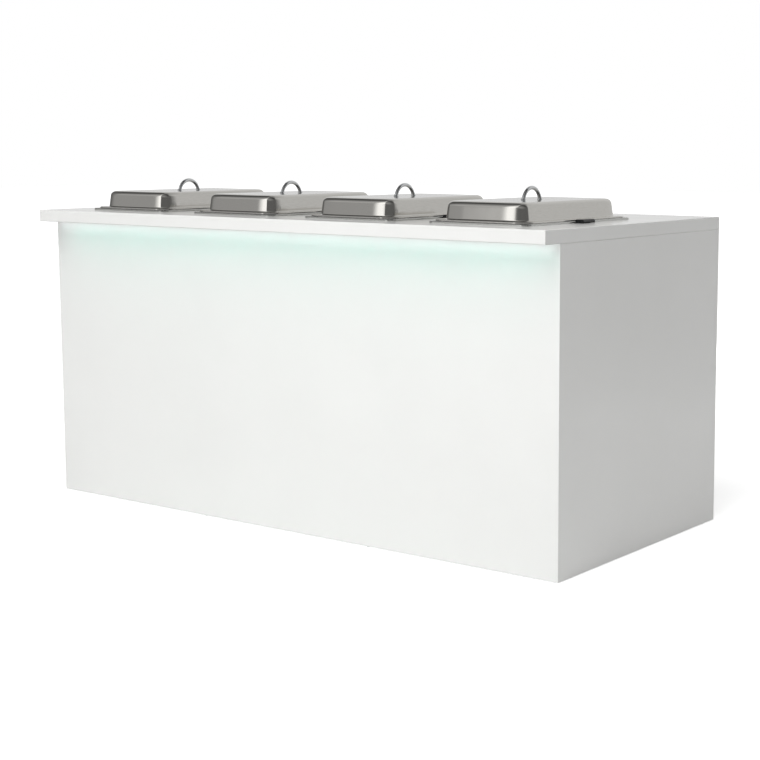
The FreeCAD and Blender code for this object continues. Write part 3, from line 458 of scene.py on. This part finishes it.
dress(moulded_plastic("white_abs_moulded", DRIVER_WHITES, roughness=0.42, texture=1.0),
      "led_driver", "lead_clips")
dress(soft_pvc("black_pvc_sheath", BLACK_SHEATH), "mains_lead")
dress(moulded_plastic("black_nylon_moulded", INLET_BLACKS, roughness=0.45, texture=1.0), "inlet_housing")
dress(moulded_plastic("black_nylon_polished", ROCKER_BLACKS, roughness=0.22, texture=1.4), "rocker_switch")
dress(nickel_plate(), "inlet_blades")
inlet_heads = set_screws("inlet_screws", inlet_seats(), pan_heads, INLET_SCREW)
show("inlet_screws", inlet_heads, "cabinet", "zinc_steel")

# Gel burners
# Spun stainless cups stand on the shelf, each with a tinned can of gel and a swing lid on a pin.
# The lid is turned aside to light the burner and back to put it out.
BURNERS = range(1, 9)
STEEL_GREYS = ("CFCFCC", "BDBDBA")
POLISHING_LINES = 1.6
BRUSHED_SPREAD = 1.5
TIN_GREYS = ("B9BCBF", "9DA1A5")
TIN_ROUGHNESS = (0.24, 0.4)
TIN_BLOOM = 12.0
TIN_MARKS = 2.0


def satin_stainless(name, brushed, roughness):
    # Drawn stainless steel, satin: fine polishing lines along one axis, drawn coarser than the real ones
    material, tree, shader = new_material(name, {"Metallic": 1.0})
    lines = grain(tree, POLISHING_LINES, detail=4.0, stretch=brushed)
    wear(tree, shader, lines, STEEL_GREYS, (roughness, roughness * BRUSHED_SPREAD))
    relief(tree, shader, lines, depth=0.01, strength=0.3, edge=0.4)
    return material


def tinned_steel():
    # Tinplate: soft bright metal with a mottled bloom
    material, tree, shader = new_material("tinplate_bright", {"Metallic": 1.0})
    wear(tree, shader, grain(tree, TIN_BLOOM, detail=5.0), TIN_GREYS, TIN_ROUGHNESS)
    relief(tree, shader, grain(tree, TIN_MARKS), depth=0.01, strength=0.4, edge=0.4)
    return material


spun_steel = satin_stainless("stainless_spun_satin", brushed=(1, 1, 6), roughness=0.22)
dress(spun_steel, "fuel_holders", *[f"burner_lid_{burner}" for burner in BURNERS])
dress(tinned_steel(), "fuel_cans")

# Water pans and their lift grips
# Each well is drawn from 1 mm stainless sheet with a raised flange that rests on the slab.
# Black phenolic grips are pushed onto tongues at the middle of its long sides.
DISHES = (1, 2, 3, 4)
DISH_PITCH = 466.0
DISH_ROW_MIDDLE = 2.5
DISH_Y = -101.0
SHEET = 1.0
EDGE_BEND = 0.4
CORNER_STEPS = 14
EASE_STEPS = 5
EASE_TURN = math.radians(10)
SIDE_SUPPORT = 7.0
BEND_STEPS = 7
BEND_SUPPORT = 1.3
QUARTER_WEIGHT = math.sqrt(0.5)
PHENOLIC_BLACKS = ("0E0E0F", "191A1B")
# Plans are width, length, corner radius and ease, and levels are heights above the floor
WATER_PAN = {"middle": (200, 405, 10, 0), "flat": (298, 503, 28.5, 0), "mouth": (310, 515, 34.5, 0),
             "rim": (344, 546, 24, 0), "flat_level": 851, "rim_level": 955, "edge_level": 950,
             "flat_bend": 17, "mouth_bend": 2, "rim_bend": 1.5, "upper": -SHEET}


def grown(plan, margin):
    """A plan, which is a width, a length, a corner's radius and its ease, with its sides moved out."""
    width, length, corner, ease = plan
    return width + 2 * margin, length + 2 * margin, corner + margin, ease


def drawn_section(middle, flat, mouth, rim, flat_level, rim_level, edge_level,
                  flat_bend, mouth_bend, rim_bend, upper):
    """Corners of a drawn shell's section: from the middle under its flat to the rim's edge, and back above.

    Plans and bends are those of the lower surface, but the rim's plan is its outer one.
    The last value is the margin by which the upper surface's plans are grown."""
    inside_rim = grown(rim, -SHEET)
    return ((*middle, flat_level, 0),
            (*flat, flat_level, flat_bend),
            (*mouth, rim_level, mouth_bend),
            (*inside_rim, rim_level, rim_bend),
            (*inside_rim, edge_level, EDGE_BEND),
            (*rim, edge_level, EDGE_BEND),
            (*rim, rim_level + SHEET, rim_bend + SHEET),
            (*grown(mouth, upper), rim_level + SHEET, mouth_bend + SHEET),
            (*grown(flat, upper), flat_level + SHEET, flat_bend + upper),
            (*middle, flat_level + SHEET, 0))


def corner_path(corner, ease):
    """A corner from one side to the next, from its first centre: a tight arc between two flatter ones."""
    tight = math.pi / 2 - 2 * EASE_TURN
    first = Vector((math.cos(EASE_TURN), math.sin(EASE_TURN))) * ease
    last = first - Vector((math.sin(EASE_TURN), math.cos(EASE_TURN))) * ease
    arcs = ((Vector((0, 0)), corner + ease, 0.0, EASE_TURN, EASE_STEPS),
            (first, corner, EASE_TURN, tight, CORNER_STEPS),
            (last, corner + ease, EASE_TURN + tight, EASE_TURN, EASE_STEPS))
    path = []
    for centre, radius, start, turn, steps in arcs:
        for step in range(steps):
            angle = start + turn * step / steps
            path.append(centre + Vector((math.cos(angle), math.sin(angle))) * radius)
    path.append(last + Vector((0, corner + ease)))
    return path


def rounded_ring(width, length, corner, ease, z):
    """Points round a rounded rectangle, anticlockwise from above, with a support beside each corner."""
    reach = corner + ease * (1 - math.cos(EASE_TURN) + math.sin(EASE_TURN))
    points = []
    for x_sign, y_sign, quarter in ((1, 1, 0), (-1, 1, 1), (-1, -1, 2), (1, -1, 3)):
        out = Vector((math.cos(quarter * math.pi / 2), math.sin(quarter * math.pi / 2), 0))
        along = Vector((-out.y, out.x, 0))
        start = Vector((x_sign * width / 2, y_sign * length / 2, z)) - along * reach
        first_centre = start - out * (corner + ease)
        points.append(start - along * SIDE_SUPPORT)
        for spot in corner_path(corner, ease):
            points.append(first_centre + out * spot.x + along * spot.y)
        points.append(points[-1] - out * SIDE_SUPPORT)
    return points


def bent_sheet(corners):
    """Rings along a sheet's section, with an arc at each bend.

    Each corner of the section is (width, length, corner radius, ease, height, bend radius)."""
    rings = []
    for number, (*ring, bend) in enumerate(corners):
        here = Vector(ring)
        if not bend:
            rings.append(here)
            continue
        legs = []
        for neighbour in (corners[number - 1], corners[number + 1]):
            leg = Vector(neighbour[:-1]) - here
            width, length, *_, height = leg
            run = math.hypot(max(abs(width), abs(length)) / 2, height)
            legs.append(leg * (bend / run))
        start, end = here + legs[0], here + legs[1]
        rings.append(here + legs[0] * BEND_SUPPORT)
        for step in range(BEND_STEPS + 1):
            u = step / BEND_STEPS
            weights = ((1 - u) ** 2, 2 * u * (1 - u) * QUARTER_WEIGHT, u ** 2)
            rings.append((start * weights[0] + here * weights[1] + end * weights[2]) / sum(weights))
        rings.append(here + legs[1] * BEND_SUPPORT)
    return rings


def skin(rings):
    """Vertices and faces over rings that run anticlockwise, the first and the last ring closed."""
    count = len(rings[0])
    vertices = [place * MM for ring in rings for place in ring]
    faces = [list(reversed(range(count)))]
    for level in range(len(rings) - 1):
        low, high = level * count, (level + 1) * count
        for side in range(count):
            after = (side + 1) % count
            faces.append([low + side, low + after, high + after, high + side])
    faces.append([(len(rings) - 1) * count + side for side in range(count)])
    return vertices, faces


def drawn_mesh(name, sizes, material):
    """A closed shell of sheet metal from its section, which starts outside on a pan, inside on a cover."""
    vertices, faces = skin([rounded_ring(*ring) for ring in bent_sheet(drawn_section(**sizes))])
    mesh = bpy.data.meshes.new(name)
    mesh.from_pydata(vertices, [], faces)
    mesh.shade_smooth()
    mesh.materials.append(material)
    return mesh


def at_dish(mesh, dish):
    """A copy of a dish's mesh at its place on the counter."""
    copy = mesh.copy()
    place = Vector(((dish - DISH_ROW_MIDDLE) * DISH_PITCH, DISH_Y, 0))
    copy.transform(Matrix.Translation(place * MM))
    return copy


pan_steel = satin_stainless("stainless_drawn_satin", brushed=(1, 0.03, 1), roughness=0.2)
grip_black = moulded_plastic("black_phenolic_moulded", PHENOLIC_BLACKS, roughness=0.3, texture=1.6)
water_pan_mesh = drawn_mesh("water_pan", WATER_PAN, pan_steel)
for dish in DISHES:
    show(f"drawn_water_pan_{dish}", at_dish(water_pan_mesh, dish), f"water_pan_{dish}", "stainless_sheet",
         f"water_pan_{dish}")
    dress(grip_black, f"lift_grips_{dish}")

# Food pans
# Standard 530 by 325 mm pans, drawn from 1 mm stainless sheet, with a turned-down rim.
# Each hangs by its rim in the mouth of the water pan.
FOOD_PAN = {"middle": (180, 385, 10, 0), "flat": (286, 491, 22.5, 0), "mouth": (302, 507, 30.5, 0),
            "rim": (325, 530, 42, 0), "flat_level": 894, "rim_level": 959, "edge_level": 956,
            "flat_bend": 15, "mouth_bend": 2, "rim_bend": 1, "upper": -SHEET}

food_pan_mesh = drawn_mesh("food_pan", FOOD_PAN, pan_steel)
for dish in DISHES:
    show(f"drawn_food_pan_{dish}", at_dish(food_pan_mesh, dish), f"food_pan_{dish}", "stainless_sheet",
         f"food_pan_{dish}")

# Covers, bow handles and handle screws
# Each cover is drawn from 1 mm stainless sheet and mirror polished, with a skirt over the pan's rim.
# Its handle is a chrome rod bent to one round bow on two turned feet, held by screws from inside.
COVER_TOP = 1012.0
COVER = {"middle": (160, 359, 10, 0), "flat": (272, 471, 21, 240), "mouth": (286, 485, 27, 247),
         "rim": (329, 534, 44, 0), "flat_level": COVER_TOP - SHEET, "rim_level": 960, "edge_level": 957,
         "flat_bend": 13, "mouth_bend": 2, "rim_bend": 1, "upper": SHEET}
HANDLE_ROD = 11.0
HANDLE_SPAN = 84.0
HANDLE_HEIGHT = 39.0
HANDLE_SHARP = math.radians(50)
BOW_STEPS = 48
FOOT_PROFILE = ((7.5, 0), (7.5, 0.8), (7.2, 1.4), (6.6, 1.8), (6.1, 2.2), (5.8, 2.8), (5.4, 3.6))
ROD_SIDES = 32
POLISH_WAVES = 70.0
POLISH_HAZE = 3.0
HAZE_SPREAD = 1.8
POLISHED_GREYS = ("DBD9D4", "CFCDC8")
CHROME_GREYS = ("E2E3E4", "D6D8DA")


def mirror_polish(name, colours, roughness):
    # Buffed metal: near mirror, faintly hazed by the buffing wheel, with the slow waves of drawn sheet
    material, tree, shader = new_material(name, {"Metallic": 1.0})
    buffed = grain(tree, POLISH_HAZE, detail=4.0, stretch=(1, 0.15, 1))
    wear(tree, shader, buffed, colours, (roughness, roughness * HAZE_SPREAD))
    relief(tree, shader, grain(tree, POLISH_WAVES, detail=1.0), depth=0.6, strength=0.25)
    return material


def circle(centre, radius, across, upward):
    """Points round a circle in the plane of two directions."""
    turns = [2 * math.pi * side / ROD_SIDES for side in range(ROD_SIDES)]
    return [centre + (across * math.cos(turn) + upward * math.sin(turn)) * radius for turn in turns]


def bow_rings():
    """Rings along the rod, bent to one arc from foot to foot and cut flat where it meets the cover."""
    rise = HANDLE_HEIGHT - HANDLE_ROD / 2
    bend = ((HANDLE_SPAN / 2) ** 2 + rise ** 2) / (2 * rise)
    half_turn = math.acos((bend - rise) / bend)
    middle = Vector((0, 0, COVER_TOP + rise - bend))
    rings = []
    for step in range(BOW_STEPS + 1):
        angle = half_turn * (2 * step / BOW_STEPS - 1)
        outward = Vector((0, math.sin(angle), math.cos(angle)))
        ring = circle(middle + outward * bend, HANDLE_ROD / 2, outward, Vector((1, 0, 0)))
        rings.append([Vector((place.x, place.y, max(place.z, COVER_TOP))) for place in ring])
    return rings


def handle_mesh(material):
    """The bow and its two turned feet in one mesh."""
    pieces = [bow_rings()]
    for side in (-1, 1):
        foot = Vector((0, side * HANDLE_SPAN / 2, COVER_TOP))
        pieces.append([circle(foot + Vector((0, 0, z)), radius, Vector((1, 0, 0)), Vector((0, 1, 0)))
                       for radius, z in FOOT_PROFILE])
    vertices, faces = [], []
    for rings in pieces:
        more_vertices, more_faces = skin(rings)
        faces += [[index + len(vertices) for index in face] for face in more_faces]
        vertices += more_vertices
    mesh = bpy.data.meshes.new("bow_handle")
    mesh.from_pydata(vertices, [], faces)
    mesh.shade_smooth()
    mesh.set_sharp_from_angle(angle=HANDLE_SHARP)
    mesh.materials.append(material)
    return mesh


polished = mirror_polish("stainless_mirror_polished", POLISHED_GREYS, roughness=0.07)
chrome = mirror_polish("chrome_plated_rod", CHROME_GREYS, roughness=0.03)
cover_mesh = drawn_mesh("cover", COVER, polished)
bow_mesh = handle_mesh(chrome)
for dish in DISHES:
    show(f"drawn_cover_{dish}", at_dish(cover_mesh, dish), f"cover_{dish}", "polished_stainless",
         f"cover_{dish}")
    show(f"bow_handle_{dish}", at_dish(bow_mesh, dish), f"cover_{dish}", "chrome", f"cover_handle_{dish}")
    dress(zinc, f"handle_screws_{dish}")

# Floor, light and camera
# A pale studio floor, an even room, two large soft lamps in front and three low ones round the rest.
# The background is white to the camera; polished metal sees grey walls, a bright strip and a dark ceiling.
FLOOR_SIZE = 60.0
FLOOR_COLOUR = "F0F0F0"
FLOOR_LIFT = 0.56
FLOOR_NEAR = 1.5
FLOOR_FAR = 3.0
FLOOR_MIRRORED = 0.25
ROOM_COLOUR = "FFFFFF"
ROOM_LIGHT = 0.28
# Brightness round the room for mirrored rays, by the share of a turn from the right towards the back
ROOM_AROUND = ((0.0, 0.10), (0.07, 0.10), (0.10, 0.45), (0.20, 0.45), (0.26, 0.50), (0.40, 0.50),
               (0.44, 0.12), (0.555, 0.12), (0.578, 0.27), (0.645, 0.28), (0.668, 1.0), (0.692, 1.0),
               (0.704, 0.10), (1.0, 0.10))
RAMP_MIDDLE = 0.5
STRIP_LIGHT = 1.4
STRIP_TOP = 0.35
CEILING_EDGE = 0.75
CEILING_DARK = 0.6
CEILING_RISE = 0.45
FRONT_CEILING = 0.25
FRONT_CEILING_LOW = 0.26
FRONT_CEILING_HIGH = 0.38
# Places and sizes of the floor, the lamps and the camera are in metres, turns in radians
LAMP_AIM = (0.0, 0.0, 0.6)
LAMP_SIZE = 4.0
KEY_POWER = 236.0
KEY_PLACE = (0.8, -3.4, 5.4)
FILL_POWER = 50.0
FILL_PLACE = (0.8, -4.9, 2.4)
BACK_POWER = 70.0
BACK_PLACE = (0.0, 4.6, 0.5)
BACK_SIZE = 0.8
SIDE_SIZE = 1.0
RIGHT_POWER = 5.0
RIGHT_PLACE = (2.6, 2.2, 1.0)
RIGHT_AIM = (1.0, 0.0, 0.6)
LEFT_POWER = 12.0
LEFT_PLACE = (-3.4, 0.8, 1.0)
LEFT_AIM = (-1.0, 0.0, 0.6)
CAMERA_PLACE = (3.2454, -3.8476, 1.1717)
CAMERA_TURN = 0.6088
CAMERA_TILT = 0.1237
CAMERA_ROLL = 0.0032
CAMERA_LENS = 74.506
CAMERA_SHIFT = (-0.17438, -0.05415)


def shown_directly(tree, mirrored=1.0):
    """1 for rays from the camera, a set share for rays from a mirror or through glass, and otherwise 0."""
    path = add(tree, "ShaderNodeLightPath").outputs
    bent = add(tree, "ShaderNodeMath",
               {0: path["Is Glossy Ray"], 1: path["Is Transmission Ray"]}, operation="MAXIMUM")
    part = add(tree, "ShaderNodeMath", {0: bent.outputs[0], 1: mirrored}, operation="MULTIPLY")
    shown = add(tree, "ShaderNodeMath",
                {0: path["Is Camera Ray"], 1: part.outputs[0]}, operation="MAXIMUM")
    return shown.outputs[0]


def floor_paint():
    # Matt painted floor: it takes the object's shadow, and is lifted to white where the light thins out
    material = bpy.data.materials.new("matt_floor_paint")
    material.use_nodes = True
    tree = material.node_tree
    tree.nodes.clear()
    paint = add(tree, "ShaderNodeBsdfDiffuse", {"Color": linear(FLOOR_COLOUR)})
    place = add(tree, "ShaderNodeTexCoord").outputs["Object"]
    distance = add(tree, "ShaderNodeVectorMath", {0: place}, operation="LENGTH").outputs["Value"]
    level = add(tree, "ShaderNodeMapRange", {"Value": distance, "From Min": FLOOR_NEAR,
                                            "From Max": FLOOR_FAR, "To Min": FLOOR_LIFT, "To Max": 1.0})
    lift = add(tree, "ShaderNodeMath",
               {0: shown_directly(tree, FLOOR_MIRRORED), 1: level.outputs["Result"]}, operation="MULTIPLY")
    glow = add(tree, "ShaderNodeEmission", {"Strength": lift.outputs[0]})
    both = add(tree, "ShaderNodeAddShader", {0: paint.outputs[0], 1: glow.outputs[0]})
    add(tree, "ShaderNodeOutputMaterial", {"Surface": both.outputs[0]})
    return material


def studio_floor():
    """A square of floor round the foot of the object."""
    half = FLOOR_SIZE / 2
    corners = [(-half, -half, 0), (half, -half, 0), (half, half, 0), (-half, half, 0)]
    mesh = bpy.data.meshes.new("studio_floor")
    mesh.from_pydata(corners, [], [(0, 1, 2, 3)])
    mesh.materials.append(floor_paint())
    floor = bpy.data.objects.new("studio_floor", mesh)
    bpy.context.scene.collection.objects.link(floor)


def studio_world():
    """An even room for its light, white to the camera, with walls and a bright strip for metal to mirror."""
    world = bpy.data.worlds.new("studio")
    bpy.context.scene.world = world
    world.use_nodes = True
    tree = world.node_tree
    tree.nodes.clear()
    direction = add(tree, "ShaderNodeTexCoord").outputs["Generated"]
    way = add(tree, "ShaderNodeSeparateXYZ", {"Vector": direction}).outputs

    # The walls, by the compass
    angle = add(tree, "ShaderNodeMath", {0: way["Y"], 1: way["X"]}, operation="ARCTAN2").outputs[0]
    turns = add(tree, "ShaderNodeMath", {0: angle, 1: 2 * math.pi}, operation="DIVIDE").outputs[0]
    compass = add(tree, "ShaderNodeMath", {0: turns}, operation="FRACT").outputs[0]
    around = add(tree, "ShaderNodeValToRGB", {"Fac": compass})
    stops = around.color_ramp.elements
    while len(stops) < len(ROOM_AROUND):
        stops.new(RAMP_MIDDLE)
    for stop, (place, level) in zip(stops, ROOM_AROUND):
        stop.position = place
        stop.color = (level, level, level, 1.0)

    # The ceiling, which darkens the walls from their top up and starts higher behind
    behind = add(tree, "ShaderNodeMath", {0: way["Y"], 1: 0.0}, operation="MAXIMUM").outputs[0]
    raised = add(tree, "ShaderNodeMath", {0: behind, 1: CEILING_RISE}, operation="MULTIPLY").outputs[0]
    height = add(tree, "ShaderNodeMath", {0: way["Z"], 1: raised}, operation="SUBTRACT").outputs[0]
    ceiling = add(tree, "ShaderNodeMapRange",
                  {"Value": height, "From Min": STRIP_TOP, "From Max": CEILING_EDGE,
                   "To Min": STRIP_LIGHT, "To Max": CEILING_DARK})
    room = add(tree, "ShaderNodeMath",
               {0: around.outputs["Color"], 1: ceiling.outputs["Result"]}, operation="MULTIPLY")

    # A paler ceiling in front
    facing = add(tree, "ShaderNodeMath", {0: way["Y"], 1: -1.0}, operation="MULTIPLY").outputs[0]
    ahead = add(tree, "ShaderNodeMath", {0: facing, 1: 0.0}, operation="MAXIMUM").outputs[0]
    above = add(tree, "ShaderNodeMapRange",
                {"Value": way["Z"], "From Min": FRONT_CEILING_LOW, "From Max": FRONT_CEILING_HIGH,
                 "To Max": FRONT_CEILING})
    whole = add(tree, "ShaderNodeMath", {0: ahead, 1: above.outputs["Result"], 2: room.outputs[0]},
                operation="MULTIPLY_ADD")

    # White to the camera, the room to mirrored rays, and one even level to all others
    camera_ray = add(tree, "ShaderNodeLightPath").outputs["Is Camera Ray"]
    seen = add(tree, "ShaderNodeMath", {0: whole.outputs[0], 1: camera_ray}, operation="MAXIMUM")
    strength = add(tree, "ShaderNodeMix",
                   {"Factor": shown_directly(tree), "A": ROOM_LIGHT, "B": seen.outputs[0]})
    sky = add(tree, "ShaderNodeBackground",
              {"Color": linear(ROOM_COLOUR), "Strength": strength.outputs["Result"]})
    add(tree, "ShaderNodeOutputWorld", {"Surface": sky.outputs["Background"]})


def soft_lamp(name, place, aim, size, power):
    """A square soft lamp turned towards a point."""
    holder = hidden_lamp(name, place, (size, size), power)
    holder.rotation_euler = (Vector(aim) - Vector(place)).to_track_quat("-Z", "Y").to_euler()


def photo_camera():
    """A camera at the photograph's viewing angle, shifted as the photograph is cropped."""
    eye = bpy.data.cameras.new("photo_camera")
    eye.lens = CAMERA_LENS
    eye.shift_x, eye.shift_y = CAMERA_SHIFT
    camera = bpy.data.objects.new("photo_camera", eye)
    turn = Matrix.Rotation(CAMERA_TURN, 4, "Z") @ Matrix.Rotation(math.pi / 2 - CAMERA_TILT, 4, "X")
    camera.matrix_world = Matrix.Translation(CAMERA_PLACE) @ turn @ Matrix.Rotation(CAMERA_ROLL, 4, "Z")
    bpy.context.scene.collection.objects.link(camera)
    bpy.context.scene.camera = camera


studio_floor()
studio_world()
soft_lamp("key_softbox", KEY_PLACE, LAMP_AIM, LAMP_SIZE, KEY_POWER)
soft_lamp("fill_softbox", FILL_PLACE, LAMP_AIM, LAMP_SIZE, FILL_POWER)
soft_lamp("back_softbox", BACK_PLACE, LAMP_AIM, BACK_SIZE, BACK_POWER)
soft_lamp("right_softbox", RIGHT_PLACE, RIGHT_AIM, SIDE_SIZE, RIGHT_POWER)
soft_lamp("left_softbox", LEFT_PLACE, LEFT_AIM, SIDE_SIZE, LEFT_POWER)
photo_camera()
bpy.context.scene.view_settings.view_transform = "Standard"
